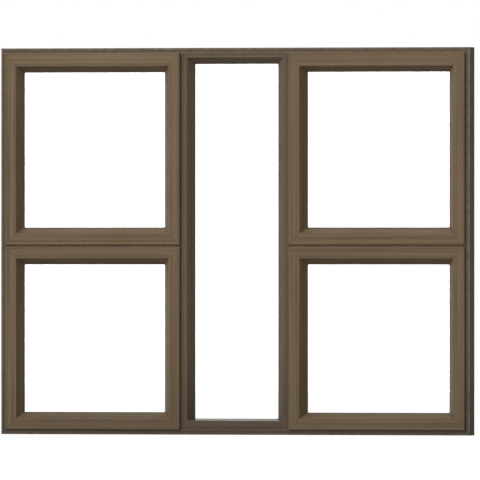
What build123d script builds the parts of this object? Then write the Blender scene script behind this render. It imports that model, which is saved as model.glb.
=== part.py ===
from build123d import *
import os

# Top-hung window: two side bays of two sashes each, and a fixed light between them.
# Millimetres. X runs to the right seen from outdoors, Y from outdoors to the room, Z up.
# The origin is the middle of the sill's underside.

# Overall size over the outer frame
WINDOW_WIDTH = 1500.0
WINDOW_HEIGHT = 1200.0

# Clear size of the bays between the frame bars
SIDE_BAY_WIDTH = 543.0
LOWER_BAY_HEIGHT = 549.5

# Frame, mullion and transom bars: a hollow box with a fin that the sashes shut against
FRAME_FACE = 24.0
FRAME_DEPTH = 60.0
FRAME_WALL = 1.8
FIN_HEIGHT = 14.0
FIN_THICKNESS = 3.0

# Sash bars: a hollow box, a flange in front of the frame and a bevelled leg in front of the glass
SASH_FACE = 35.0
UPPER_RAIL_EXTRA = 6.0
SASH_OVERLAP = 9.0
SASH_PROUD = 10.0
SASH_WALL = 1.8
STAY_GAP = 9.0
FLANGE_THICKNESS = 2.5
LIP_THICKNESS = 2.5
ARRIS_RADIUS = 3.0
BEVEL_WIDTH = 18.0
BEVEL_DEPTH = 26.0
BEVEL_LAND = 2.0
LEG_ROOT = 5.0
LEG_TIP = 3.0

# Seals between sash and frame
FRONT_SEAL_GAP = 3.0
BACK_SEAL_GAP = 3.0
FRONT_SEAL_WIDTH = 4.0

# Glazing
GLASS_THICKNESS = 4.0
GLASS_COVER = 10.0
GASKET_THICKNESS = 3.0
GASKET_SEAT = 5.0
GASKET_LIP = 1.5

# Clip-in beads
BEAD_SETBACK = 4.0
BEAD_CHAMFER = 7.0
BEAD_WALL = 1.4
BEAD_JOINT = 0.4
FIXED_FLAT = 6.0
FIXED_BEVEL_WIDTH = 18.5
FIXED_BEVEL_DEPTH = 22.0
SILL_BEAD_FLAT = 20.0

# Handles on the room side, one to a sash
HANDLE_BASE_LENGTH = 62.0
HANDLE_BASE_HEIGHT = 8.0
HANDLE_SIDE_ROOM = 0.5
LEVER_LENGTH = 105.0
LEVER_THICKNESS = 7.0
LEVER_TIP_RADIUS = 5.0
LEVER_EDGE = 1.5
LEVER_GAP = 0.3
NOSE_LENGTH = 22.0
NOSE_WIDTH = 10.0
NOSE_THICKNESS = 4.0
CATCH_LENGTH = 28.0
CATCH_HEIGHT = 14.0

# Screw holes through both jambs
FIXING_DIAMETER = 6.5
FIXING_INSET = 150.0
FIXING_PITCH = 300.0

# Radius on the extruded edges, and spare length on cutting solids
EDGE_RADIUS = 0.8
CUT_SPARE = 2.0

# Depths along Y
frame_front = -FRAME_DEPTH / 2
frame_back = FRAME_DEPTH / 2
fin_front = frame_back - FIN_THICKNESS
sash_front = frame_front - SASH_PROUD
sash_back = fin_front - BACK_SEAL_GAP
lip_back = frame_front - FRONT_SEAL_GAP
leg_back = sash_front + BEVEL_DEPTH + BEVEL_LAND
sash_glass_front = leg_back + GASKET_THICKNESS
sash_bead_front = sash_glass_front + GLASS_THICKNESS + GASKET_THICKNESS
fixed_bead_back = frame_front + FIXED_BEVEL_DEPTH + BEVEL_LAND
fixed_glass_front = fixed_bead_back + GASKET_THICKNESS
fixed_inner_front = fixed_glass_front + GLASS_THICKNESS + GASKET_THICKNESS

# Widths inward from the edge of a sash, and from the edge of the fixed light's opening
sash_box = SASH_OVERLAP + STAY_GAP
sash_sight = SASH_FACE + BEVEL_WIDTH
sash_bead_sight = sash_sight - BEAD_SETBACK
sash_room_edge = SASH_OVERLAP + FIN_HEIGHT
fixed_sight = FIXED_FLAT + FIXED_BEVEL_WIDTH
fixed_bead_sight = fixed_sight - BEAD_SETBACK

# Openings between the frame bars as (left, bottom, right, top)
frame_rect = (-WINDOW_WIDTH / 2, 0, WINDOW_WIDTH / 2, WINDOW_HEIGHT)
jamb_inside = WINDOW_WIDTH / 2 - FRAME_FACE
mullion_outside = jamb_inside - SIDE_BAY_WIDTH
mullion_inside = mullion_outside - FRAME_FACE
sill_top = FRAME_FACE
head_bottom = WINDOW_HEIGHT - FRAME_FACE
transom_bottom = sill_top + LOWER_BAY_HEIGHT
transom_top = transom_bottom + FRAME_FACE
fixed_rect = (-mullion_inside, sill_top, mullion_inside, head_bottom)
sash_openings = {
    "left_upper": (-jamb_inside, transom_top, -mullion_outside, head_bottom),
    "left_lower": (-jamb_inside, sill_top, -mullion_outside, transom_bottom),
    "right_upper": (mullion_outside, transom_top, jamb_inside, head_bottom),
    "right_lower": (mullion_outside, sill_top, jamb_inside, transom_bottom),
}


def inset(rect, by):
    """The rectangle drawn in on all four sides."""
    left, bottom, right, top = rect
    return (left + by, bottom + by, right - by, top - by)


def slab(rect, front, back):
    """A box over a rectangle, from one depth to another."""
    left, bottom, right, top = rect
    centre = Pos((left + right) / 2, (front + back) / 2, (bottom + top) / 2)
    return centre * Box(right - left, back - front, top - bottom)


def ring(rect, outer, inner, front, back):
    """A flat ring between two insets of a rectangle."""
    return slab(inset(rect, outer), front, back) - slab(inset(rect, inner), front, back)


def outline(corners):
    """A face from (across, depth, corner radius) points."""
    points = [(across, depth) for across, depth, radius in corners]
    radii = [radius for across, depth, radius in corners]
    return make_face(FilletPolyline(*points, radius=radii, close=True))


def chamber(left, front, right, back):
    """The rectangular hollow of a section."""
    return Pos((left + right) / 2, (front + back) / 2) * Rectangle(right - left, back - front)


def frame_section():
    """Head, sill and jambs: across runs in from the frame's outer edge."""
    fin_edge = FRAME_FACE + FIN_HEIGHT
    skin = outline([
        (0, frame_front, EDGE_RADIUS),
        (FRAME_FACE, frame_front, EDGE_RADIUS),
        (FRAME_FACE, fin_front, 0),
        (fin_edge, fin_front, 0),
        (fin_edge, frame_back, EDGE_RADIUS),
        (0, frame_back, EDGE_RADIUS),
    ])
    return skin - chamber(
        FRAME_WALL, frame_front + FRAME_WALL, FRAME_FACE - FRAME_WALL, frame_back - FRAME_WALL
    )


def divider_section():
    """Mullions and transoms: across runs from the bar's middle, with a fin on both sides."""
    half = FRAME_FACE / 2
    fin_edge = half + FIN_HEIGHT
    skin = outline([
        (-half, frame_front, EDGE_RADIUS),
        (half, frame_front, EDGE_RADIUS),
        (half, fin_front, 0),
        (fin_edge, fin_front, 0),
        (fin_edge, frame_back, EDGE_RADIUS),
        (-fin_edge, frame_back, EDGE_RADIUS),
        (-fin_edge, fin_front, 0),
        (-half, fin_front, 0),
    ])
    return skin - chamber(
        FRAME_WALL - half, frame_front + FRAME_WALL, half - FRAME_WALL, frame_back - FRAME_WALL
    )


def sash_section(face):
    """Sash rails and stiles: across runs in from the flange's outer edge."""
    sight = face + BEVEL_WIDTH
    skin = outline([
        (0, sash_front, ARRIS_RADIUS),
        (face, sash_front, EDGE_RADIUS),
        (sight, sash_front + BEVEL_DEPTH, 0),
        (sight, leg_back, 0),
        (sight - LEG_TIP, leg_back, 0),
        (face, sash_front + LEG_ROOT, 0),
        (face, sash_back, EDGE_RADIUS),
        (sash_box, sash_back, EDGE_RADIUS),
        (sash_box, sash_front + FLANGE_THICKNESS, 0),
        (LIP_THICKNESS, sash_front + FLANGE_THICKNESS, 0),
        (LIP_THICKNESS, lip_back, 0),
        (0, lip_back, 0),
    ])
    return skin - chamber(
        sash_box + SASH_WALL, sash_front + SASH_WALL, face - SASH_WALL, sash_back - SASH_WALL
    )


def bead_section(corners):
    """A thin-walled bead."""
    skin = outline(corners)
    return skin - offset(skin, amount=-BEAD_WALL, kind=Kind.INTERSECTION)


def room_bead_section(seat, sight, front, back):
    """A bead on the room side of a pane, chamfered towards the light."""
    return bead_section([
        (seat, front, 0),
        (sight, front, 0),
        (sight, back - BEAD_CHAMFER, 0),
        (sight - BEAD_CHAMFER, back, 0),
        (seat, back, 0),
    ])


def fixed_bead_corners(flat, start=0.0):
    """The fixed light's bead outdoors: a flat in line with the frame, then a bevel to the glass."""
    return [
        (start, frame_front, EDGE_RADIUS),
        (flat, frame_front, EDGE_RADIUS),
        (fixed_sight, frame_front + FIXED_BEVEL_DEPTH, 0),
        (fixed_sight, fixed_bead_back, 0),
        (start, fixed_bead_back, 0),
    ]


def cut_bar(section, length, start, end):
    """A bar along Z cut at both ends along seams of (across, along) points, from its outer edge inwards."""
    far_end = [(across, length - along) for across, along in reversed(end)]
    cut = make_face(Polyline(*start, *far_end, close=True))
    wedge = extrude(Plane.XZ * cut, amount=FRAME_DEPTH + SASH_PROUD, both=True)
    return extrude(section, amount=length) & wedge


def corner_starts(rect):
    """Where the bars round a rectangle start, each with across pointing inwards."""
    left, bottom, right, top = rect
    return {
        "left": Plane((left, 0, bottom), x_dir=(1, 0, 0), z_dir=(0, 0, 1)),
        "right": Plane((right, 0, top), x_dir=(-1, 0, 0), z_dir=(0, 0, -1)),
        "bottom": Plane((right, 0, bottom), x_dir=(0, 0, 1), z_dir=(-1, 0, 0)),
        "top": Plane((left, 0, top), x_dir=(0, 0, -1), z_dir=(1, 0, 0)),
    }


def mitred_bars(section, rect, joint=0.0):
    """Four bars round a rectangle, by side, cut at 45 degrees and each cut set back by half a joint."""
    left, bottom, right, top = rect
    reach = section.bounding_box().max.X + CUT_SPARE
    mitre = [(0, joint / 2), (reach, reach + joint / 2)]
    upright = cut_bar(section, top - bottom, mitre, mitre)
    level = cut_bar(section, right - left, mitre, mitre)
    return {
        side: start * (upright if side in ("left", "right") else level)
        for side, start in corner_starts(rect).items()
    }


def sash_bars(rect, top_extra):
    """The rails and stiles of a sash, by side. The top rail is wider by top_extra, so its mitres step."""
    left, bottom, right, top = rect
    section = sash_section(SASH_FACE)
    top_section = sash_section(SASH_FACE + top_extra)
    inside = sash_sight + CUT_SPARE
    mitre = [(0, 0), (inside, inside)]
    step = [
        (0, 0),
        (sash_box, sash_box),
        (SASH_FACE, SASH_FACE + top_extra),
        (inside, inside + top_extra),
    ]
    stepped_rail = [(along, across) for across, along in step]
    width = right - left
    height = top - bottom
    starts = corner_starts(rect)
    return {
        "top": starts["top"] * cut_bar(top_section, width, stepped_rail, stepped_rail),
        "bottom": starts["bottom"] * cut_bar(section, width, mitre, mitre),
        "left": starts["left"] * cut_bar(section, height, mitre, step),
        "right": starts["right"] * cut_bar(section, height, step, mitre),
    }


def save(name, *pieces):
    """One node of one or more separate solids."""
    solids = [solid for piece in pieces for solid in piece.solids()]
    export_step(solids[0] if len(solids) == 1 else Compound(solids), f"parts/{name}.step")


def outer_frame():
    """Head, sill and jambs, with screw holes through both walls of each jamb."""
    bars = mitred_bars(frame_section(), frame_rect)
    heights = [FIXING_INSET, FIXING_INSET + FIXING_PITCH]
    heights += [WINDOW_HEIGHT - height for height in heights]
    drill = Cylinder(FIXING_DIAMETER / 2, FRAME_FACE + CUT_SPARE, rotation=(0, 90, 0))
    for side, sign in (("left", -1), ("right", 1)):
        middle = sign * (WINDOW_WIDTH - FRAME_FACE) / 2
        for height in heights:
            bars[side] -= Pos(middle, 0, height) * drill
    save("head", bars["top"])
    save("sill", bars["bottom"])
    save("left_jamb", bars["left"])
    save("right_jamb", bars["right"])


def divider(start, length):
    """A mullion or transom along the plane's normal, notched at both ends over the fins it meets."""
    reach = FRAME_FACE / 2 + FIN_HEIGHT + CUT_SPARE
    bar = extrude(divider_section(), amount=length)
    back = (fin_front + frame_back + CUT_SPARE) / 2
    notch = Box(2 * reach, FIN_THICKNESS + CUT_SPARE, FIN_HEIGHT)
    bar -= Pos(0, back, FIN_HEIGHT / 2) * notch
    bar -= Pos(0, back, length - FIN_HEIGHT / 2) * notch
    return start * bar


def dividers():
    """Two mullions from sill to head, and a transom across each side bay."""
    middle = (mullion_outside + mullion_inside) / 2
    height = transom_bottom + FRAME_FACE / 2
    for side, sign, start in (("left", -1, -mullion_outside), ("right", 1, jamb_inside)):
        upright = Plane((sign * middle, 0, sill_top), x_dir=(1, 0, 0), z_dir=(0, 0, 1))
        level = Plane((start, 0, height), x_dir=(0, 0, 1), z_dir=(-1, 0, 0))
        save(f"{side}_mullion", divider(upright, head_bottom - sill_top))
        save(f"{side}_transom", divider(level, SIDE_BAY_WIDTH))


def glazing_gaskets(rect, sight, front, room_sight):
    """A gasket on each face of a pane, its lip just inside the bars' sight lines."""
    back = front + GLASS_THICKNESS
    return (
        ring(rect, sight - GASKET_SEAT, sight + GASKET_LIP, front - GASKET_THICKNESS, front),
        ring(rect, room_sight - GASKET_SEAT, room_sight + GASKET_LIP, back, back + GASKET_THICKNESS),
    )


def sash_seals(rect):
    """The seal under the sash's flange, and the seal between the sash box and the frame's fin."""
    return (
        ring(rect, LIP_THICKNESS, LIP_THICKNESS + FRONT_SEAL_WIDTH,
             sash_front + FLANGE_THICKNESS, frame_front),
        ring(rect, sash_box, sash_room_edge, sash_back, fin_front),
    )


def sash(place, opening):
    """One top-hung sash: four mitred bars, pane, beads and gaskets."""
    rect = inset(opening, -SASH_OVERLAP)
    top_extra = UPPER_RAIL_EXTRA if place.endswith("upper") else 0
    bars = sash_bars(rect, top_extra)
    save(f"{place}_sash_top_rail", bars["top"])
    save(f"{place}_sash_bottom_rail", bars["bottom"])
    save(f"{place}_sash_left_stile", bars["left"])
    save(f"{place}_sash_right_stile", bars["right"])
    left, bottom, right, top = rect
    glazing = (left, bottom, right, top - top_extra)
    pane = inset(glazing, sash_sight - GLASS_COVER)
    save(f"{place}_glass", slab(pane, sash_glass_front, sash_glass_front + GLASS_THICKNESS))
    bead = room_bead_section(0, sash_bead_sight - SASH_FACE, sash_bead_front, sash_back)
    save(f"{place}_beads", *mitred_bars(bead, inset(glazing, SASH_FACE), BEAD_JOINT).values())
    gaskets = glazing_gaskets(glazing, sash_sight, sash_glass_front, sash_bead_sight)
    save(f"{place}_gaskets", *gaskets, *sash_seals(rect))


def handle(place, opening, way):
    """A lever handle on the sash's bottom rail. Its nose reaches down over a catch plate on the frame."""
    left, bottom, right, top = opening
    width = SASH_FACE - sash_room_edge - 2 * HANDLE_SIDE_ROOM
    height = bottom - SASH_OVERLAP + (SASH_FACE + sash_room_edge) / 2
    seat = Plane(((left + right) / 2, sash_back, height), x_dir=(1, 0, 0), z_dir=(0, 1, 0))
    base = extrude(seat * SlotOverall(HANDLE_BASE_LENGTH, width), amount=HANDLE_BASE_HEIGHT)
    pivot = seat.offset(HANDLE_BASE_HEIGHT + LEVER_GAP)
    tip = Pos(way * LEVER_LENGTH, 0) * Circle(LEVER_TIP_RADIUS)
    grip = pivot * make_hull(Circle(width / 2).edges() + tip.edges())
    lever = extrude(grip, amount=LEVER_THICKNESS)
    nose = Pos(0, NOSE_LENGTH / 2) * SlotOverall(NOSE_LENGTH + NOSE_WIDTH, NOSE_WIDTH, rotation=90)
    lever += extrude(pivot * nose, amount=NOSE_THICKNESS)
    lever = fillet(lever.edges().group_by(Axis.Y)[-1], LEVER_EDGE)
    save(f"{place}_handle", base, lever)
    catch_depth = sash_back + HANDLE_BASE_HEIGHT - frame_back
    catch = Box(CATCH_LENGTH, catch_depth, CATCH_HEIGHT)
    return Pos((left + right) / 2, frame_back + catch_depth / 2, height - NOSE_LENGTH) * catch


def fixed_outer_beads():
    """The fixed light's beads outdoors: the sides are mitred to the top bead and stand on the sill bead."""
    left, bottom, right, top = fixed_rect
    below = fixed_sight + CUT_SPARE
    bead = bead_section(fixed_bead_corners(FIXED_FLAT))
    bars = mitred_bars(bead, (left, bottom - below, right, top), BEAD_JOINT)
    along = Plane((right, 0, bottom), x_dir=(0, 0, 1), z_dir=(-1, 0, 0))
    sill_bead = extrude(along * bead_section(fixed_bead_corners(SILL_BEAD_FLAT)), amount=right - left)
    foot = outline(fixed_bead_corners(SILL_BEAD_FLAT, -below - CUT_SPARE))
    cut = extrude(along * foot, amount=right - left)
    return bars["top"], bars["left"] - cut, bars["right"] - cut, sill_bead


def fixed_light():
    """The middle light, glazed straight into the frame between beads."""
    pane = inset(fixed_rect, fixed_sight - GLASS_COVER)
    save("centre_glass", slab(pane, fixed_glass_front, fixed_glass_front + GLASS_THICKNESS))
    save("centre_outer_beads", *fixed_outer_beads())
    bead = room_bead_section(0, fixed_bead_sight, fixed_inner_front, fin_front)
    save("centre_inner_beads", *mitred_bars(bead, fixed_rect, BEAD_JOINT).values())
    save("centre_gaskets", *glazing_gaskets(fixed_rect, fixed_sight, fixed_glass_front, fixed_bead_sight))


os.makedirs("parts", exist_ok=True)
outer_frame()
dividers()
fixed_light()
catches = []
for place, opening in sash_openings.items():
    sash(place, opening)
    catches.append(handle(place, opening, 1 if place.startswith("left") else -1))
save("handle_catches", *catches)
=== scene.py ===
import math

import bmesh
import bpy
import numpy as np
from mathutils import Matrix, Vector


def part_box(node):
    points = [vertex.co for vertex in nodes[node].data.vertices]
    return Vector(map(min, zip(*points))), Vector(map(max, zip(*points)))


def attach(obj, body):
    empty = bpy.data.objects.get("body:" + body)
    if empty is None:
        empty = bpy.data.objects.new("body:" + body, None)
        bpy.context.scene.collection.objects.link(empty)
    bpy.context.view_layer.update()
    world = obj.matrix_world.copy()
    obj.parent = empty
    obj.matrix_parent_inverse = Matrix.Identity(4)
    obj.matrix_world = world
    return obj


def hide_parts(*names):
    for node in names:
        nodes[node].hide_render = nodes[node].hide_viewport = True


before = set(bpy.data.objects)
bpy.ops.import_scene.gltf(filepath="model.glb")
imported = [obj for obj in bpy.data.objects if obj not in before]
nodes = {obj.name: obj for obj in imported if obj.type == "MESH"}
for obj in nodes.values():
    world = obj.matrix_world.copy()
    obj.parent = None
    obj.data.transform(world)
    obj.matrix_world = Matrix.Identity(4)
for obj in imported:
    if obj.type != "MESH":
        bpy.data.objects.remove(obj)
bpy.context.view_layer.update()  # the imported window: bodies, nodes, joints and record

sashPlaces = ["left_upper", "left_lower", "right_upper", "right_lower"]
sashBars = ["sash_top_rail", "sash_bottom_rail", "sash_left_stile", "sash_right_stile"]
print("window loaded:", len(nodes), "nodes")


# the (left, bottom, right, top) outline of a ring of bars, from its lowest and its highest bar
def outlineOf(lowestBar, highestBar):
    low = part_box(lowestBar)[0]
    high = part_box(highestBar)[1]
    return low.x, low.z, high.x, high.z


sash = {"paneInset": 0.043, "boxInset": 0.018, "faceWidth": 0.035}  # ways in from a sash's edge
sashOutlines = {}
glazingOutlines = {}
railSteps = {}
for place in sashPlaces:
    sashOutlines[place] = outlineOf(place + "_sash_bottom_rail", place + "_sash_top_rail")
    paneLow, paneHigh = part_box(place + "_glass")
    out = sash["paneInset"]
    glazingOutlines[place] = (paneLow.x - out, paneLow.z - out, paneHigh.x + out, paneHigh.z + out)
    # the upper sashes' top rails are a little wider, so their tops lie past the glazing outline
    railSteps[place] = sashOutlines[place][3] - glazingOutlines[place][3]
unitOutline = outlineOf("sill", "head")
fixedOutline = outlineOf("centre_outer_beads", "centre_outer_beads")


# helpers for node trees: feed links a socket or sets its value, most others add one node
def feed(tree, socket, value):
    if isinstance(value, bpy.types.NodeSocket):
        tree.links.new(value, socket)
    elif isinstance(value, tuple) and socket.type == "RGBA":
        socket.default_value = value + (1.0,)
    else:
        socket.default_value = value


def addNode(tree, kind, settings=None, **inputs):
    node = tree.nodes.new("ShaderNode" + kind)
    for key, value in (settings or {}).items():
        setattr(node, key, value)
    for key, value in inputs.items():
        feed(tree, node.inputs[key.replace("_", " ")], value)
    return node


def calc(tree, operation, *values):
    node = addNode(tree, "Math", {"operation": operation})
    for socket, value in zip(node.inputs, values):
        feed(tree, socket, value)
    return node.outputs["Value"]


def calcVector(tree, operation, *values):
    node = addNode(tree, "VectorMath", {"operation": operation})
    for socket, value in zip(node.inputs, values):
        feed(tree, socket, value)
    return node.outputs["Vector"]


def noise(tree, vector, scale, detail=2.0, roughness=0.5):
    inputs = {"Vector": vector, "Scale": scale, "Detail": detail, "Roughness": roughness}
    return addNode(tree, "TexNoise", **inputs).outputs["Fac"]


def remap(tree, value, fromLow, fromHigh, toLow=0.0, toHigh=1.0, smooth=False):
    curve = "SMOOTHSTEP" if smooth else "LINEAR"
    node = addNode(tree, "MapRange", {"interpolation_type": curve}, Value=value)
    limits = {"From Min": fromLow, "From Max": fromHigh, "To Min": toLow, "To Max": toHigh}
    for key, limit in limits.items():
        feed(tree, node.inputs[key], limit)
    return node.outputs["Result"]


def blend(tree, share, under, over):
    node = addNode(tree, "Mix", {"data_type": "RGBA"})
    for index, value in zip((0, 6, 7), (share, under, over)):  # the sockets for colours
        feed(tree, node.inputs[index], value)
    return node.outputs[2]


def axes(tree, vector):
    return addNode(tree, "SeparateXYZ", Vector=vector).outputs


def objectPlace(tree):
    return addNode(tree, "TexCoord").outputs["Object"]


def newGroup(name, inputs, outputs):
    group = bpy.data.node_groups.new(name, "ShaderNodeTree")
    for label, kind in inputs.items():
        group.interface.new_socket(label, in_out="INPUT", socket_type="NodeSocket" + kind)
    for label, kind in outputs.items():
        group.interface.new_socket(label, in_out="OUTPUT", socket_type="NodeSocket" + kind)
    given = group.nodes.new("NodeGroupInput").outputs
    result = group.nodes.new("NodeGroupOutput").inputs
    return group, given, result


def useGroup(tree, group, **inputs):
    node = tree.nodes.new("ShaderNodeGroup")
    node.node_tree = group
    for key, value in inputs.items():
        feed(tree, node.inputs[key.replace("_", " ")], value)
    return node.outputs


def newMaterial(name, **constants):
    material = bpy.data.materials.new(name)
    material.use_nodes = True
    tree = material.node_tree
    shader = tree.nodes["Principled BSDF"]
    for key, value in constants.items():
        feed(tree, shader.inputs[key.replace("_", " ")], value)
    return material, tree, shader


def roughen(tree, shader, height, strength, distance):
    bump = addNode(tree, "Bump", Height=height, Strength=strength, Distance=distance)
    tree.links.new(bump.outputs["Normal"], shader.inputs["Normal"])


# effects that several materials use are groups, built once; from here on a noise is (scale, detail,
# roughness), and a span is where a remap starts and ends, followed by what it gives there
mitreHairline = {"full": 0.0002, "gone": 0.0008}  # how far off the joint


# which way a bar of a rectangular ring runs: a point nearer to the left or right edge is on an
# upright bar; Run is (along, across, depth) for its bar, Inward the way in from the edge, Mitre the
# hairline between two bars; a wider top rail counts as a plain one by squeezing its face between
# the box and the bevel by Top Step
def buildBarLayout():
    group, given, result = newGroup(
        "barLayout",
        {"Low": "Vector", "High": "Vector", "Top Step": "Float", "Mitre Above": "Float"},
        {"Run": "Vector", "Inward": "Float", "Mitre": "Float"},
    )
    place = objectPlace(group)
    x, depth, z = axes(group, place)
    fromLeft, _, fromBottom = axes(group, calcVector(group, "SUBTRACT", place, given["Low"]))
    fromRight, _, fromTop = axes(group, calcVector(group, "SUBTRACT", given["High"], place))
    boxEnd, faceEnd = sash["boxInset"], sash["faceWidth"]
    wideFaceEnd = calc(group, "ADD", given["Top Step"], faceEnd)
    squeezed = remap(group, fromTop, boxEnd, wideFaceEnd, boxEnd, faceEnd)
    shifted = calc(group, "SUBTRACT", fromTop, given["Top Step"])
    fromTop = calc(group, "MINIMUM", fromTop, calc(group, "MAXIMUM", squeezed, shifted))
    fromSide = calc(group, "MINIMUM", fromLeft, fromRight)
    fromEnd = calc(group, "MINIMUM", fromBottom, fromTop)
    upright = calc(group, "LESS_THAN", fromSide, fromEnd)
    lean = calc(group, "MULTIPLY", upright, calc(group, "SUBTRACT", z, x))
    along = calc(group, "ADD", x, lean)
    across = calc(group, "SUBTRACT", z, lean)
    run = addNode(group, "CombineXYZ", X=along, Y=across, Z=depth)
    fromMitre = calc(group, "ABSOLUTE", calc(group, "SUBTRACT", fromSide, fromEnd))
    full, gone = mitreHairline["full"], mitreHairline["gone"]
    hairline = remap(group, fromMitre, full, gone, 1.0, 0.0, smooth=True)
    mitred = calc(group, "GREATER_THAN", z, given["Mitre Above"])
    group.links.new(run.outputs["Vector"], result["Run"])
    group.links.new(calc(group, "MINIMUM", fromSide, fromEnd), result["Inward"])
    group.links.new(calc(group, "MULTIPLY", hairline, mitred), result["Mitre"])
    return group


dieMarks = {
    "bandStretch": (1.1, 120.0, 120.0), "bandNoise": (1.0, 3.0, 0.55), "bandSpan": (0.34, 0.66),
    "lineStretch": (5.0, 620.0, 620.0), "lineNoise": (1.0, 2.0), "lineSpan": (0.28, 0.72),
}


# lines that the die leaves along a bar: noise drawn out along the run, broad bands and fine lines
def buildDieLines():
    outputs = {"Broad": "Float", "Fine": "Float"}
    group, given, result = newGroup("dieLines", {"Run": "Vector"}, outputs)
    bandPlace = calcVector(group, "MULTIPLY", given["Run"], dieMarks["bandStretch"])
    bands = noise(group, bandPlace, *dieMarks["bandNoise"])
    linePlace = calcVector(group, "MULTIPLY", given["Run"], dieMarks["lineStretch"])
    lines = noise(group, linePlace, *dieMarks["lineNoise"])
    group.links.new(remap(group, bands, *dieMarks["bandSpan"]), result["Broad"])
    group.links.new(remap(group, lines, *dieMarks["lineSpan"]), result["Fine"])
    return group


coatClouds = {
    "grainDetail": 2.0, "driftNoise": (3.5, 2.0), "driftSpan": (0.30, 0.70),
    "warmNoise": (11.0, 3.0, 0.6), "warmSpan": (0.36, 0.66),
}


# the fine orange peel of a sprayed coat, the slow drift of its tone over the unit and patches of
# warmer colour, each a noise of its own size
def buildCoatGrain():
    outputs = {"Grain": "Float", "Drift": "Float", "Warmth": "Float"}
    group, given, result = newGroup("coatGrain", {"Size": "Float"}, outputs)
    place = objectPlace(group)
    group.links.new(noise(group, place, given["Size"], coatClouds["grainDetail"]), result["Grain"])
    drift = noise(group, place, *coatClouds["driftNoise"])
    group.links.new(remap(group, drift, *coatClouds["driftSpan"]), result["Drift"])
    warmth = noise(group, place, *coatClouds["warmNoise"])
    group.links.new(remap(group, warmth, *coatClouds["warmSpan"]), result["Warmth"])
    return group


dustFall = {
    "patchDetail": 4.0, "patchRough": 0.6, "patchSpan": (0.30, 0.65), "upSpan": (0.25, 0.95),
}


# dust settles where the surface looks up, in soft patches
def buildSettledDust():
    group, given, result = newGroup("settledDust", {"Patch": "Float"}, {"Mask": "Float"})
    lookUp = axes(group, addNode(group, "NewGeometry").outputs["Normal"])[2]
    detail, rough = dustFall["patchDetail"], dustFall["patchRough"]
    patches = noise(group, objectPlace(group), given["Patch"], detail, rough)
    patches = remap(group, patches, *dustFall["patchSpan"])
    level = remap(group, lookUp, *dustFall["upSpan"], smooth=True)
    group.links.new(calc(group, "MULTIPLY", level, patches), result["Mask"])
    return group


lineShaping = {"outSpan": (0.25, 0.60), "breakNoise": (60.0, 3.0), "breakSpan": (0.35, 0.62, 0.25, 1.0)}


# a soft line at two set distances in from the edge, on the front and the back only, broken up by
# noise: rubbed arrises on the sash and beads, and painted light where it marks the unit's outer
# edges and the frame beside the sashes
def buildWearAndLightLines():
    inputs = {"Inward": "Float", "First": "Float", "Second": "Float", "Width": "Float"}
    group, given, result = newGroup("wearAndLightLines", inputs, {"Mask": "Float"})
    offFirst = calc(group, "ABSOLUTE", calc(group, "SUBTRACT", given["Inward"], given["First"]))
    offSecond = calc(group, "ABSOLUTE", calc(group, "SUBTRACT", given["Inward"], given["Second"]))
    off = calc(group, "MINIMUM", offFirst, offSecond)
    near = remap(group, off, 0.0, given["Width"], 1.0, 0.0, smooth=True)
    depthways = axes(group, addNode(group, "NewGeometry").outputs["Normal"])[1]
    lookOut = calc(group, "ABSOLUTE", depthways)
    near = calc(group, "MULTIPLY", near, remap(group, lookOut, *lineShaping["outSpan"], smooth=True))
    broken = noise(group, objectPlace(group), *lineShaping["breakNoise"])
    broken = remap(group, broken, *lineShaping["breakSpan"])
    group.links.new(calc(group, "MULTIPLY", near, broken), result["Mask"])
    return group


lowSpots = {"spotNoise": (34.0, 4.0, 0.6), "spotSpan": (0.25, 0.60, 0.55, 1.0)}


# darker towards the bottom of the unit, thinning out upwards and broken up by noise
def buildLowDarkening():
    group, given, result = newGroup("lowDarkening", {"Reach": "Float"}, {"Mask": "Float"})
    place = objectPlace(group)
    height = axes(group, place)[2]
    low = remap(group, height, 0.0, given["Reach"], 1.0, 0.0, smooth=True)
    spots = remap(group, noise(group, place, *lowSpots["spotNoise"]), *lowSpots["spotSpan"])
    group.links.new(calc(group, "MULTIPLY", low, spots), result["Mask"])
    return group


barLayout = buildBarLayout()
dieLines = buildDieLines()
coatGrain = buildCoatGrain()
settledDust = buildSettledDust()
wearAndLightLines = buildWearAndLightLines()
lowDarkening = buildLowDarkening()
print("finish groups built:", len(bpy.data.node_groups))


# bronze tones: arris is where the two pale lines lie and the entry after it gives their (width,
# share): rubbed wear on the sash and beads, a painted highlight along the unit's outer edges
sashBronze = {
    "deep": (0.080, 0.052, 0.025), "pale": (0.192, 0.139, 0.079), "warm": (0.150, 0.089, 0.052),
    "joint": (0.030, 0.021, 0.013), "wornAndLit": (0.230, 0.180, 0.125), "dust": (0.300, 0.270, 0.230),
    "arris": (0.0, 0.035), "wearAndHighlight": (0.0016, 0.35), "lowDarkShare": 0.20, "sideLightShare": 0.85,
}
# the frame's tones are a darker copy of the sash's bronze: painted shade for the frame set back
# behind the proud sashes
shadedFrameBronze = {
    "deep": (0.053, 0.034, 0.018), "pale": (0.122, 0.086, 0.051), "warm": (0.094, 0.058, 0.036),
    "joint": (0.024, 0.017, 0.011), "wornAndLit": (0.230, 0.205, 0.165), "dust": (0.300, 0.270, 0.230),
    "arris": (0.0, 0.0), "wearAndHighlight": (0.0016, 0.30), "lowDarkShare": 0.52, "sideLightShare": 0.45,
}
highlitOuterBronze = {**shadedFrameBronze, "wearAndHighlight": (0.0090, 0.70)}  # painted highlight: a wide, pale band along the unit's outer edges, standing in for rounded arrises catching the light
beadBronze = {
    "deep": (0.078, 0.054, 0.033), "pale": (0.146, 0.108, 0.073), "warm": (0.115, 0.075, 0.048),
    "joint": (0.024, 0.017, 0.011), "wornAndLit": (0.170, 0.135, 0.100), "dust": (0.300, 0.270, 0.230),
    "arris": (0.006, 0.049), "wearAndHighlight": (0.0012, 0.30), "lowDarkShare": 0.56, "sideLightShare": 0.45,
}
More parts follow.
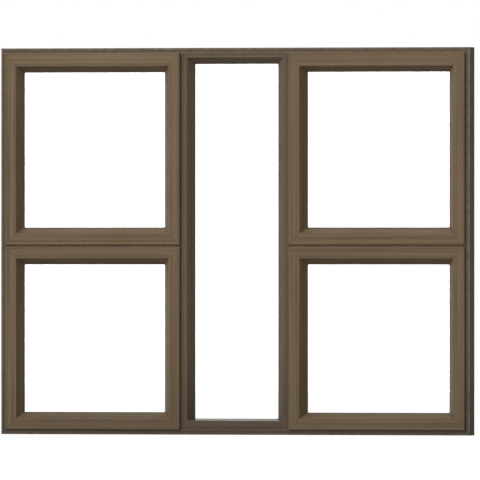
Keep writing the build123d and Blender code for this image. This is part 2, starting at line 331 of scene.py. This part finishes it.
coat = {
    "fineShare": 0.22, "broadShare": 0.62, "driftShare": 0.16,  # of the tone from deep to pale
    "warmShare": 0.35, "roughLow": 0.42, "roughHigh": 0.58, "specular": 0.13,
    "edgeFull": 0.0002, "edgeGone": 0.0010, "edgeRough": 0.35,  # the outermost sides of a bar
    # painted light: a pale tone laid on the frame beside the sashes' edges, lifting the shadow the
    # proud sashes cast there
    "shadowLift": (0.200, 0.145, 0.095), "shadowLiftWidth": 0.0045,
    # the tone the unit darkens to towards its bottom, and how high that reaches
    "lowDark": (0.045, 0.030, 0.020), "lowDarkReach": 0.30,
    "dustPatch": 26.0, "dustShare": 0.12,
    "peelSize": 1700.0, "peelHeight": 0.5, "lineHeight": 0.5, "lineBump": 0.22, "bumpDepth": 0.0002,
    "mitreShare": 0.55, "mitreSink": 2.0,
}
belowUnit = -1.0


# crevice is (how far in from the outline the edge of a sash hides the bar, the share of painted
# light that lifts the shadow beside that edge), and mitres show only above the height mitreAbove
def bronzeMaterial(name, tones, outline, topStep=0.0, mitreAbove=belowUnit, shadowLift=None):
    left, bottom, right, top = outline
    material, tree, shader = newMaterial(name, Specular_IOR_Level=coat["specular"], Metallic=0.0)
    low, high = (left, 0.0, bottom), (right, 0.0, top)
    bar = useGroup(tree, barLayout, Low=low, High=high, Top_Step=topStep, Mitre_Above=mitreAbove)
    inward = bar["Inward"]
    lines = useGroup(tree, dieLines, Run=bar["Run"])
    peel = useGroup(tree, coatGrain, Size=coat["peelSize"])
    dust = useGroup(tree, settledDust, Patch=coat["dustPatch"])["Mask"]
    dust = calc(tree, "MULTIPLY", dust, coat["dustShare"])
    first, second = tones["arris"]
    wearAndHighlightWidth, wearAndHighlightShare = tones["wearAndHighlight"]
    wearAndHighlight = useGroup(tree, wearAndLightLines, Inward=inward, First=first, Second=second, Width=wearAndHighlightWidth)
    tone = calc(tree, "MULTIPLY", lines["Broad"], coat["broadShare"])
    tone = calc(tree, "MULTIPLY_ADD", lines["Fine"], coat["fineShare"], tone)
    tone = calc(tree, "MULTIPLY_ADD", peel["Drift"], coat["driftShare"], tone)
    colour = blend(tree, tone, tones["deep"], tones["pale"])
    warmth = calc(tree, "MULTIPLY", peel["Warmth"], coat["warmShare"])
    colour = blend(tree, warmth, colour, tones["warm"])
    colour = blend(tree, calc(tree, "MULTIPLY", wearAndHighlight["Mask"], wearAndHighlightShare), colour, tones["wornAndLit"])
    edge = remap(tree, inward, coat["edgeFull"], coat["edgeGone"], 1.0, 0.0)  # painted light: the outermost sides, mostly in shade, are painted paler; they are also less smooth
    colour = blend(tree, calc(tree, "MULTIPLY", edge, tones["sideLightShare"]), colour, tones["wornAndLit"])
    # painted light: a pale line on the front of the frame where the sashes' cast shadow falls
    if shadowLift:
        hidden, share = shadowLift
        width = coat["shadowLiftWidth"]
        liftMask = useGroup(tree, wearAndLightLines, Inward=inward, First=hidden, Second=hidden, Width=width)
        outdoors = calc(tree, "LESS_THAN", axes(tree, bar["Run"])[2], 0.0)
        liftMask = calc(tree, "MULTIPLY", liftMask["Mask"], outdoors)
        colour = blend(tree, calc(tree, "MULTIPLY", liftMask, share), colour, coat["shadowLift"])
    # darker towards the bottom of the unit
    lowDark = useGroup(tree, lowDarkening, Reach=coat["lowDarkReach"])["Mask"]
    colour = blend(tree, calc(tree, "MULTIPLY", lowDark, tones["lowDarkShare"]), colour, coat["lowDark"])
    colour = blend(tree, dust, colour, tones["dust"])
    joint = calc(tree, "MULTIPLY", bar["Mitre"], coat["mitreShare"])
    colour = blend(tree, joint, colour, tones["joint"])
    tree.links.new(colour, shader.inputs["Base Color"])
    sheen = remap(tree, lines["Fine"], 0.0, 1.0, coat["roughLow"], coat["roughHigh"])
    sheen = calc(tree, "MULTIPLY_ADD", edge, coat["edgeRough"], sheen)
    tree.links.new(calc(tree, "ADD", sheen, dust), shader.inputs["Roughness"])
    relief = calc(tree, "MULTIPLY", lines["Fine"], coat["lineHeight"])
    relief = calc(tree, "MULTIPLY_ADD", peel["Grain"], coat["peelHeight"], relief)
    sunk = calc(tree, "MULTIPLY", bar["Mitre"], coat["mitreSink"])
    relief = calc(tree, "SUBTRACT", relief, sunk)
    roughen(tree, shader, relief, coat["lineBump"], coat["bumpDepth"])
    return material


# a lone bar has no mitres: its outline is stretched far past its ends
def barOutline(node, upright):
    low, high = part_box(node)
    far = 50.0
    if upright:
        return low.x, -far, high.x, far
    return -far, low.z, far, high.z


def dress(nodeName, material):
    for slot in nodes[nodeName].material_slots:
        slot.material = material


# painted light: where, and how strongly, a pale tone lifts the shadow on the frame beside the
# sashes' edges
frameShadowLift = {"edge": (0.0145, 0.5), "transom": (0.026, 1.0)}
sillBeadTop = 0.10  # below this the fixed light's side beads stand on the sill bead, unmitred

edgeShadowLift = frameShadowLift["edge"]
outerFrame = bronzeMaterial("outerFrameBronze", highlitOuterBronze, unitOutline, shadowLift=edgeShadowLift)
for bar in ["head", "sill", "left_jamb", "right_jamb"]:
    dress(bar, outerFrame)
for bar in ["left_mullion", "right_mullion"]:
    dress(bar, bronzeMaterial(bar + "Bronze", shadedFrameBronze, barOutline(bar, True), shadowLift=edgeShadowLift))
for bar in ["left_transom", "right_transom"]:
    transomLift = frameShadowLift["transom"]
    dress(bar, bronzeMaterial(bar + "Bronze", shadedFrameBronze, barOutline(bar, False), shadowLift=transomLift))
for place in sashPlaces:
    outline, step = sashOutlines[place], railSteps[place]
    sashCoat = bronzeMaterial(place + "SashBronze", sashBronze, outline, step)
    for bar in sashBars:
        dress(place + "_" + bar, sashCoat)
    beadCoat = bronzeMaterial(place + "BeadBronze", beadBronze, glazingOutlines[place])
    dress(place + "_beads", beadCoat)
fixedOuter = bronzeMaterial(
    "fixedOuterBeadBronze", beadBronze, fixedOutline, mitreAbove=sillBeadTop
)
dress("centre_outer_beads", fixedOuter)
dress("centre_inner_beads", bronzeMaterial("fixedInnerBeadBronze", beadBronze, fixedOutline))
print("bronze bars dressed")

# clear glass under a thin uneven film of dirt
paneGlass = {
    "clear": (0.994, 0.998, 0.996), "film": (0.970, 0.980, 0.976), "filmRough": 0.015, "ior": 1.5,
    "smearStretch": (3.0, 1.0, 1.2), "smearNoise": (2.2, 4.0, 0.6), "smearSpan": (0.45, 0.75),
    "smearShare": 0.5, "speckNoise": (420.0, 2.0), "speckSpan": (0.70, 0.78), "speckShare": 0.6,
    "waveNoise": (5.0, 1.0), "waveBump": 0.02, "waveDepth": 0.0004,
}


# shadow rays and bounce light go straight through the glass, and what is looked at is refracted
def glassMaterial():
    material, tree, shader = newMaterial(
        "clearFloatGlass", Metallic=0.0, Transmission_Weight=1.0, IOR=paneGlass["ior"]
    )
    place = objectPlace(tree)
    smearPlace = calcVector(tree, "MULTIPLY", place, paneGlass["smearStretch"])
    smear = noise(tree, smearPlace, *paneGlass["smearNoise"])
    smear = remap(tree, smear, *paneGlass["smearSpan"])
    smear = calc(tree, "MULTIPLY", smear, paneGlass["smearShare"])
    specks = remap(tree, noise(tree, place, *paneGlass["speckNoise"]), *paneGlass["speckSpan"])
    specks = calc(tree, "MULTIPLY", specks, paneGlass["speckShare"])
    film = calc(tree, "MAXIMUM", smear, specks)
    tint = blend(tree, film, paneGlass["clear"], paneGlass["film"])
    tree.links.new(tint, shader.inputs["Base Color"])
    rough = calc(tree, "MULTIPLY", film, paneGlass["filmRough"])
    tree.links.new(rough, shader.inputs["Roughness"])
    waves = noise(tree, place, *paneGlass["waveNoise"])
    roughen(tree, shader, waves, paneGlass["waveBump"], paneGlass["waveDepth"])
    rays = addNode(tree, "LightPath").outputs
    clear = addNode(tree, "BsdfTransparent").outputs["BSDF"]
    lampLit = addNode(tree, "MixShader")
    bounceLit = addNode(tree, "MixShader")
    steps = ((lampLit, "Is Shadow Ray", shader), (bounceLit, "Is Diffuse Ray", lampLit))
    for mix, ray, solid in steps:
        tree.links.new(rays[ray], mix.inputs[0])
        tree.links.new(solid.outputs[0], mix.inputs[1])
        tree.links.new(clear, mix.inputs[2])
    tree.links.new(bounceLit.outputs[0], tree.nodes["Material Output"].inputs["Surface"])
    return material


clearGlass = glassMaterial()
for pane in [place + "_glass" for place in sashPlaces] + ["centre_glass"]:
    dress(pane, clearGlass)
print("panes dressed")

# handles and catches in a darker, glossier coat
handleCoat = {
    "deep": (0.036, 0.026, 0.018), "pale": (0.062, 0.045, 0.031), "dust": (0.26, 0.24, 0.21),
    "speckleNoise": (1500.0, 3.0), "speckleSpan": (0.35, 0.70),
    "dustPatch": 90.0, "dustShare": 0.25,
    "specular": 0.40, "roughSpan": (0.3, 0.7, 0.30, 0.46),
    "peelSize": 900.0, "peelBump": 0.30, "peelDepth": 0.0003,
}


def handleMaterial():
    specular = handleCoat["specular"]
    material, tree, shader = newMaterial("handleBronze", Specular_IOR_Level=specular, Metallic=0.0)
    grain = useGroup(tree, coatGrain, Size=handleCoat["peelSize"])["Grain"]
    dust = useGroup(tree, settledDust, Patch=handleCoat["dustPatch"])["Mask"]
    speckle = noise(tree, objectPlace(tree), *handleCoat["speckleNoise"])
    speckle = remap(tree, speckle, *handleCoat["speckleSpan"])
    colour = blend(tree, speckle, handleCoat["deep"], handleCoat["pale"])
    dust = calc(tree, "MULTIPLY", dust, handleCoat["dustShare"])
    colour = blend(tree, dust, colour, handleCoat["dust"])
    tree.links.new(colour, shader.inputs["Base Color"])
    rough = remap(tree, grain, *handleCoat["roughSpan"])
    tree.links.new(rough, shader.inputs["Roughness"])
    roughen(tree, shader, grain, handleCoat["peelBump"], handleCoat["peelDepth"])
    return material


screwSteel = {
    "dull": (0.36, 0.35, 0.33), "bright": (0.62, 0.61, 0.59), "roughLow": 0.28, "roughHigh": 0.46,
    "tarnishNoise": (700.0, 4.0, 0.6), "tarnishSpan": (0.32, 0.68),
    "grainNoise": (4200.0, 2.0), "grainBump": 0.15, "grainDepth": 0.0001,
}


def screwMaterial():
    material, tree, shader = newMaterial("zincScrewSteel", Metallic=1.0)
    place = objectPlace(tree)
    tarnish = noise(tree, place, *screwSteel["tarnishNoise"])
    tarnish = remap(tree, tarnish, *screwSteel["tarnishSpan"])
    colour = blend(tree, tarnish, screwSteel["bright"], screwSteel["dull"])
    tree.links.new(colour, shader.inputs["Base Color"])
    rough = remap(tree, tarnish, 0.0, 1.0, screwSteel["roughLow"], screwSteel["roughHigh"])
    tree.links.new(rough, shader.inputs["Roughness"])
    grain = noise(tree, place, *screwSteel["grainNoise"])
    roughen(tree, shader, grain, screwSteel["grainBump"], screwSteel["grainDepth"])
    return material


handleBronze = handleMaterial()
zincScrew = screwMaterial()
for place in sashPlaces:
    dress(place + "_handle", handleBronze)
dress("handle_catches", handleBronze)
print("handles dressed")


# quads between neighbouring points of a grid; the first way round is always closed, the second on
# request
def gridFaces(countAround, countAlong, closedAlong):
    index = np.arange(countAround * countAlong).reshape(countAround, countAlong)
    around = np.roll(index, -1, axis=0)
    aroundNext = np.roll(around, -1, axis=1)
    indexNext = np.roll(index, -1, axis=1)
    quads = np.stack([index, around, aroundNext, indexNext], axis=-1)
    if not closedAlong:
        quads = quads[:, :-1]
    return quads.reshape(-1, 4)


def joinShells(shells):
    starts = np.cumsum([0] + [len(points) for points, faces in shells])
    points = np.concatenate([points for points, faces in shells])
    faces = np.concatenate([faces + start for (_, faces), start in zip(shells, starts)])
    return points, faces


pieceMesh = {"mergeDistance": 1e-6, "sharpAngle": 40.0}


def addPiece(name, shells, material):
    points, faces = joinShells(shells)
    mesh = bpy.data.meshes.new(name)
    mesh.from_pydata(points.tolist(), [], faces.tolist())
    shape = bmesh.new()
    shape.from_mesh(mesh)
    merge = pieceMesh["mergeDistance"]  # closes the poles
    bmesh.ops.remove_doubles(shape, verts=shape.verts, dist=merge)
    bmesh.ops.recalc_face_normals(shape, faces=shape.faces)
    shape.to_mesh(mesh)
    shape.free()
    mesh.polygons.foreach_set("use_smooth", np.ones(len(mesh.polygons), dtype=bool))
    mesh.set_sharp_from_angle(angle=math.radians(pieceMesh["sharpAngle"]))
    mesh.materials.append(material)
    piece = bpy.data.objects.new(name, mesh)
    bpy.context.scene.collection.objects.link(piece)
    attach(piece, "root")
    return piece


pivotCap = {"radius": 0.0052, "rise": 0.0012, "wall": 0.0005}
crossScrew = {
    "radius": 0.0032, "rise": 0.0011, "wall": 0.0006,
    "armWidth": 0.0010, "armReach": 0.0020, "sink": 0.0009,
}
headGrid = {"around": 48, "rings": 18, "crownPower": 2.4, "armSide": 0.0002, "armEnd": 0.0003}


# a screw head or cap that looks along +Y: turned about its axis, it falls from the crown to the rim
# as rise * (1 - share of the radius to the crown power), then a straight wall goes down to the seat
# and the foot closes it; a cross is sunk where a point lies within half an arm's width of either
# arm and within the arm's reach, with slopes armSide and armEnd wide
def turnedHead(centre, radius, rise, wall, armWidth=0.0, armReach=0.0, sink=0.0):
    around, rings = headGrid["around"], headGrid["rings"]
    angle = np.linspace(0.0, 2.0 * np.pi, around, endpoint=False)[:, None]
    crown = np.linspace(0.0, 1.0, rings)
    fall = wall + rise * (1.0 - crown ** headGrid["crownPower"])
    share = np.concatenate([crown, [1.0, 0.0]])[None, :]
    height = np.concatenate([fall, [0.0, 0.0]])[None, :]
    out = radius * share
    offArm = out * np.minimum(np.abs(np.sin(angle)), np.abs(np.cos(angle)))
    inWidth = np.clip((armWidth / 2 - offArm) / headGrid["armSide"] + 0.5, 0.0, 1.0)
    inReach = np.clip((armReach - out) / headGrid["armEnd"] + 0.5, 0.0, 1.0)
    onCrown = np.arange(rings + 2) < rings
    x = centre[0] + out * np.cos(angle)
    y = centre[1] + height - sink * (inWidth * inReach * onCrown)
    z = centre[2] + out * np.sin(angle)
    points = np.stack([x, y, z], axis=-1).reshape(-1, 3)
    return points, gridFaces(around, rings + 2, False)


# where the fasteners of a handle lie: how far the pivot is above the nose's foot and above the
# catch screws, and how far the screws are to the side of the pivot
handleLayout = {
    "noseReach": 0.027, "noseToPivot": 0.022, "baseScrewOut": 0.0195, "catchScrewOut": 0.0095,
}
for place in sashPlaces:
    left, _, right, _ = sashOutlines[place]
    low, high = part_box(place + "_handle")
    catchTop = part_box("handle_catches")[1].y
    pivotX = (left + right) / 2
    pivotZ = low.z + handleLayout["noseReach"]
    way = 1.0 if low.x + high.x > 2 * pivotX else -1.0  # the lever points to the unit's middle
    cap = turnedHead((pivotX, high.y, pivotZ), **pivotCap)
    addPiece(place + "_pivot_cap", [cap], handleBronze)
    baseX = pivotX - way * handleLayout["baseScrewOut"]
    baseScrew = turnedHead((baseX, catchTop, pivotZ), **crossScrew)
    addPiece(place + "_base_screw", [baseScrew], zincScrew)
    catchZ = pivotZ - handleLayout["noseToPivot"]
    catchScrews = []
    for side in (-1, 1):
        catchX = pivotX + side * handleLayout["catchScrewOut"]
        catchScrews.append(turnedHead((catchX, catchTop, catchZ), **crossScrew))
    addPiece(place + "_catch_screws", catchScrews, zincScrew)
print("fasteners added")

# rubber seals in place of the plain gasket rings
sealRubber = {
    "deep": (0.010, 0.010, 0.010), "pale": (0.026, 0.026, 0.025), "dust": (0.16, 0.15, 0.14),
    "bloomNoise": (55.0, 4.0, 0.6), "bloomSpan": (0.35, 0.70), "dustPatch": 70.0, "dustShare": 0.2,
    "specular": 0.30, "roughLow": 0.55, "roughHigh": 0.75,
    "grainSize": 2600.0, "grainBump": 0.30, "grainDepth": 0.0002,
}


def rubberMaterial():
    specular = sealRubber["specular"]
    material, tree, shader = newMaterial("sealRubber", Specular_IOR_Level=specular, Metallic=0.0)
    bloom = noise(tree, objectPlace(tree), *sealRubber["bloomNoise"])
    bloom = remap(tree, bloom, *sealRubber["bloomSpan"])
    dust = useGroup(tree, settledDust, Patch=sealRubber["dustPatch"])["Mask"]
    dust = calc(tree, "MULTIPLY", dust, sealRubber["dustShare"])
    colour = blend(tree, bloom, sealRubber["deep"], sealRubber["pale"])
    colour = blend(tree, dust, colour, sealRubber["dust"])
    tree.links.new(colour, shader.inputs["Base Color"])
    rough = remap(tree, bloom, 0.0, 1.0, sealRubber["roughLow"], sealRubber["roughHigh"])
    tree.links.new(rough, shader.inputs["Roughness"])
    grain = useGroup(tree, coatGrain, Size=sealRubber["grainSize"])["Grain"]
    roughen(tree, shader, grain, sealRubber["grainBump"], sealRubber["grainDepth"])
    return material


# in millimetres: the (root, shoulder, tip, low, high) of each seal's strip, and its corner radius
sashPaneSeals = {
    "outside": ((48.0, 53.0, 54.5, -12.0, -9.03), 57.0),
    "inside": ((44.0, 49.0, 50.5, -4.97, -2.0), 53.0),
}
fixedPaneSeals = {
    "outside": ((19.5, 24.5, 26.0, -6.0, -3.03), 28.5),
    "inside": ((15.5, 20.5, 22.0, 1.03, 4.0), 24.5),
}
rebateSeals = {
    "front": ((-37.5, -32.2, -30.0, 2.5, 6.5), 14.0),
    "back": ((24.0, 25.0, 27.0, 18.0, 23.0), 34.0),
}
sealGrid = {"lipSteps": 12, "cornerSteps": 9}
mmPerMetre = 1000.0


# a strip with a rounded lip: two straight faces run from the root to the shoulder, and half an
# ellipse closes them at the tip; a point is (how far along root to tip, how far across)
def lippedStrip(root, shoulder, tip, low, high):
    turn = np.linspace(-np.pi / 2, np.pi / 2, sealGrid["lipSteps"])
    run = shoulder + (tip - shoulder) * np.cos(turn)
    side = (low + high) / 2 + (high - low) / 2 * np.sin(turn)
    back = np.array([[root, high], [root, low]])
    return np.concatenate([np.stack([run, side], axis=1), back]) / mmPerMetre


# a profile of (way in, depth) carried round a rectangle: at each corner the path turns about a
# centre set in by the corner radius, so a point that lies further in runs on a tighter arc, and the
# sides join the arcs
def carryRound(profile, outline, corner):
    left, bottom, right, top = outline
    steps = sealGrid["cornerSteps"]
    quarter = np.linspace(0.0, np.pi / 2, steps)
    angle = (np.arange(4)[:, None] * np.pi / 2 + quarter[None, :]).reshape(-1, 1)
    cornersX = [right - corner, left + corner, left + corner, right - corner]
    cornersZ = [top - corner, top - corner, bottom + corner, bottom + corner]
    radius = corner - profile[None, :, 0]
    x = np.repeat(cornersX, steps)[:, None] + radius * np.cos(angle)
    z = np.repeat(cornersZ, steps)[:, None] + radius * np.sin(angle)
    y = np.broadcast_to(profile[None, :, 1], x.shape)
    points = np.stack([x, y, z], axis=-1).reshape(-1, 3)
    return points, gridFaces(len(angle), len(profile), True)


def paneShells(seals, outline):
    shells = []
    for strip, corner in seals.values():
        shells.append(carryRound(lippedStrip(*strip), outline, corner / mmPerMetre))
    return shells


def rebateShells(outline):
    shells = []
    for strip, corner in rebateSeals.values():
        profile = lippedStrip(*strip)[:, ::-1]  # the lips point out of the sash, not along the pane
        shells.append(carryRound(profile, outline, corner / mmPerMetre))
    return shells


rubber = rubberMaterial()
for place in sashPlaces:
    shells = paneShells(sashPaneSeals, glazingOutlines[place]) + rebateShells(sashOutlines[place])
    seal = addPiece(place + "_seals", shells, rubber)
    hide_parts(place + "_gaskets")
fixedShells = paneShells(fixedPaneSeals, fixedOutline)
seal = addPiece("centre_seals", fixedShells, rubber)
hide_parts("centre_gaskets")
print("seals added")


# the floor and the world look white to the camera, to reflections and through glass, and light the
# bars plainly
def seenDirectly(tree):
    rays = addNode(tree, "LightPath").outputs
    seen = calc(tree, "MAXIMUM", rays["Is Camera Ray"], rays["Is Glossy Ray"])
    return calc(tree, "MAXIMUM", seen, rays["Is Transmission Ray"])


paleFloor = {
    "half": 14.0, "tone": (0.46, 0.46, 0.46), "bounce": (0.22, 0.22, 0.22), "mottleGain": 1.03,
    "mottleNoise": (6.0, 4.0), "mottleSpan": (0.3, 0.7), "rough": 0.9,
    "glow": 0.72, "glowColour": (1.0, 1.0, 1.0),
}


def floorMaterial():
    material, tree, shader = newMaterial(
        "paleFloor", Specular_IOR_Level=0.0, Roughness=paleFloor["rough"],
        Emission_Color=paleFloor["glowColour"],
    )
    mottle = noise(tree, objectPlace(tree), *paleFloor["mottleNoise"])
    mottle = remap(tree, mottle, *paleFloor["mottleSpan"])
    paler = tuple(channel * paleFloor["mottleGain"] for channel in paleFloor["tone"])
    seen = seenDirectly(tree)
    tone = blend(tree, mottle, paleFloor["tone"], paler)
    tone = blend(tree, seen, paleFloor["bounce"], tone)
    tree.links.new(tone, shader.inputs["Base Color"])
    glow = calc(tree, "MULTIPLY", seen, paleFloor["glow"])
    tree.links.new(glow, shader.inputs["Emission Strength"])
    return material


half = paleFloor["half"]
floorCorners = [(-half, -half, 0), (half, -half, 0), (half, half, 0), (-half, half, 0)]
floorMesh = bpy.data.meshes.new("studioFloor")
floorMesh.from_pydata(floorCorners, [], [(0, 1, 2, 3)])
floorMesh.materials.append(floorMaterial())
floor = bpy.data.objects.new("studioFloor", floorMesh)
bpy.context.scene.collection.objects.link(floor)

skyLight = {"colour": (1.0, 1.0, 1.0), "ambient": 0.325, "white": 1.0}
world = bpy.data.worlds.new("studioWorld")
bpy.context.scene.world = world
world.use_nodes = True
sky = world.node_tree
sky.nodes.clear()
dim = addNode(sky, "Background", Color=skyLight["colour"], Strength=skyLight["ambient"])
white = addNode(sky, "Background", Color=skyLight["colour"], Strength=skyLight["white"])
either = addNode(sky, "MixShader")
sky.links.new(seenDirectly(sky), either.inputs[0])
sky.links.new(dim.outputs[0], either.inputs[1])
sky.links.new(white.outputs[0], either.inputs[2])
sky.links.new(either.outputs[0], addNode(sky, "OutputWorld").inputs["Surface"])

suns = {
    "keySun": {"comesFrom": (-0.31, -0.905, 0.292), "strength": 1.97},
    "roomFill": {"comesFrom": (-0.35, 0.85, 0.40), "strength": 1.9},  # the side that faces the room
}
sunAngle = 40.0  # wide, for soft shadows
for name, lamp in suns.items():
    sun = bpy.data.lights.new(name, "SUN")
    sun.energy = lamp["strength"]
    sun.angle = math.radians(sunAngle)
    sunObject = bpy.data.objects.new(name, sun)
    sunObject.rotation_euler = Vector(lamp["comesFrom"]).to_track_quat("Z", "Y").to_euler()
    bpy.context.scene.collection.objects.link(sunObject)

overhead = {"at": (-0.2, -1.6, 2.5), "aim": (0.0, 0.0, 0.9), "size": (1.8, 0.7), "watts": 12.0}
softbox = bpy.data.lights.new("overheadSoftbox", "AREA")
softbox.shape = "RECTANGLE"
softbox.size, softbox.size_y = overhead["size"]
softbox.energy = overhead["watts"]
softboxObject = bpy.data.objects.new("overheadSoftbox", softbox)
softboxObject.location = overhead["at"]
towards = Vector(overhead["at"]) - Vector(overhead["aim"])
softboxObject.rotation_euler = towards.to_track_quat("Z", "Y").to_euler()
softboxObject.visible_camera = False
bpy.context.scene.collection.objects.link(softboxObject)

view = {
    "azimuth": 14.39, "aim": (0.0093, 0.0, 0.604), "frameWidth": 1.4888,
    "lens": 1200.0, "sensor": 36.0, "clipEnd": 200.0,
}
azimuth = math.radians(view["azimuth"])
back = Vector((math.sin(azimuth), -math.cos(azimuth), 0.0))
cameraData = bpy.data.cameras.new("photoCamera")
cameraData.lens = view["lens"]
cameraData.sensor_width = view["sensor"]
cameraData.clip_end = view["clipEnd"]
camera = bpy.data.objects.new("photoCamera", cameraData)
distance = view["frameWidth"] * view["lens"] / view["sensor"]
camera.location = Vector(view["aim"]) + back * distance
camera.rotation_euler = (-back).to_track_quat("-Z", "Y").to_euler()
bpy.context.scene.collection.objects.link(camera)
bpy.context.scene.camera = camera
bpy.context.scene.view_settings.view_transform = "Standard"
print("studio set")
